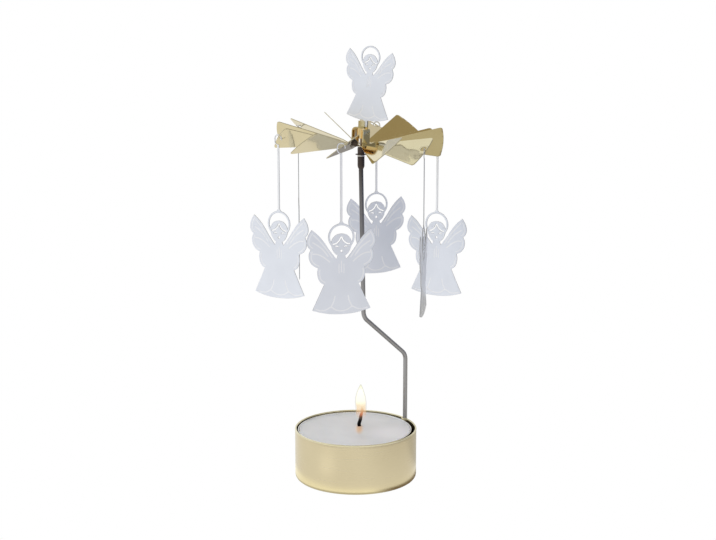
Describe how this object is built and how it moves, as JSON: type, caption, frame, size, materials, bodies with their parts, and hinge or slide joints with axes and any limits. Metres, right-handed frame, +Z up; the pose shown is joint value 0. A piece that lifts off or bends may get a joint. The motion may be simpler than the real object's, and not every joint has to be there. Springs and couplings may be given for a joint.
{
  "type": "angel chime carousel",
  "caption": "Tealight cup with a bent wire that carries a needle, and a twisted-vane wheel that turns on it in the candle's warm air with flat angels hung from its vanes.",
  "frame": {"origin": "centre of the candle cup's underside", "axes": "+Z up, along the cup's axis; -Y is the side the picture shows, +X to its right"},
  "size_m": [0.0713, 0.0597, 0.1441],
  "materials": {
    "cup_brass": "satin sheet brass with a fine vertical drawing grain",
    "wire_steel": "bright drawn wire, slightly darkened",
    "sleeve_dark": "dark burnished steel",
    "needle_steel": "polished",
    "tealight_aluminium": "bright deep-drawn foil",
    "wax": "smooth paraffin wax, slightly translucent",
    "wick": "charred braided cotton",
    "sustainer_tin": "tin-plated sheet",
    "wheel_brass": "polished sheet brass",
    "bridge_brass": "polished sheet brass",
    "angel_silver": "satin silver-coloured thin sheet"
  },
  "bodies": {
    "stand": {"candle_cup": "cup_brass", "stand_wire": "wire_steel", "pivot_sleeve": "sleeve_dark", "sleeve_collar": "sleeve_dark", "pivot_needle": "needle_steel"},
    "tealight": {"tealight_cup": "tealight_aluminium", "wax": "wax", "wick": "wick", "wick_sustainer": "sustainer_tin"},
    "rotor": {"vane_wheel": "wheel_brass", "bearing_bridge": "bridge_brass", "top_angel": "angel_silver"},
    "pendant_front": {"angel_front": "angel_silver"},
    "pendant_front_right": {"angel_front_right": "angel_silver"},
    "pendant_right": {"angel_right": "angel_silver"},
    "pendant_back": {"angel_back": "angel_silver"},
    "pendant_back_left": {"angel_back_left": "angel_silver"},
    "pendant_left": {"angel_left": "angel_silver"}
  },
  "joints": [
    {"name": "rotor_spin", "type": "hinge", "parent": "stand", "child": "rotor", "pos_m": [0.00176, 0, 0.118], "axis": [0, 0, 1], "continuous": true},
    {"name": "tealight_lift", "type": "slide", "parent": "stand", "child": "tealight", "axis": [0, 0, 1], "range_m": [0, 0.018]},
    {"name": "swing_front", "type": "hinge", "parent": "rotor", "child": "pendant_front", "pos_m": [-0.00435, -0.02668, 0.11379], "axis": [-0.9806, 0.196, 0], "range_deg": [-4, 25]},
    {"name": "swing_front_right", "type": "hinge", "parent": "rotor", "child": "pendant_front_right", "pos_m": [0.02146, -0.01827, 0.11153], "axis": [-0.6665, -0.7455, 0], "range_deg": [-4, 25]},
    {"name": "swing_right", "type": "hinge", "parent": "rotor", "child": "pendant_right", "pos_m": [0.0272, 0.00868, 0.11257], "axis": [0.314, -0.9494, 0], "range_deg": [-4, 25]},
    {"name": "swing_back", "type": "hinge", "parent": "rotor", "child": "pendant_back", "pos_m": [0.00716, 0.02647, 0.11696], "axis": [0.977, -0.213, 0], "range_deg": [-4, 25]},
    {"name": "swing_back_left", "type": "hinge", "parent": "rotor", "child": "pendant_back_left", "pos_m": [-0.01943, 0.01768, 0.11686], "axis": [0.6521, 0.7581, 0], "range_deg": [-4, 25]},
    {"name": "swing_left", "type": "hinge", "parent": "rotor", "child": "pendant_left", "pos_m": [-0.02465, -0.0087, 0.11522], "axis": [-0.3173, 0.9483, 0], "range_deg": [-4, 25]}
  ]
}
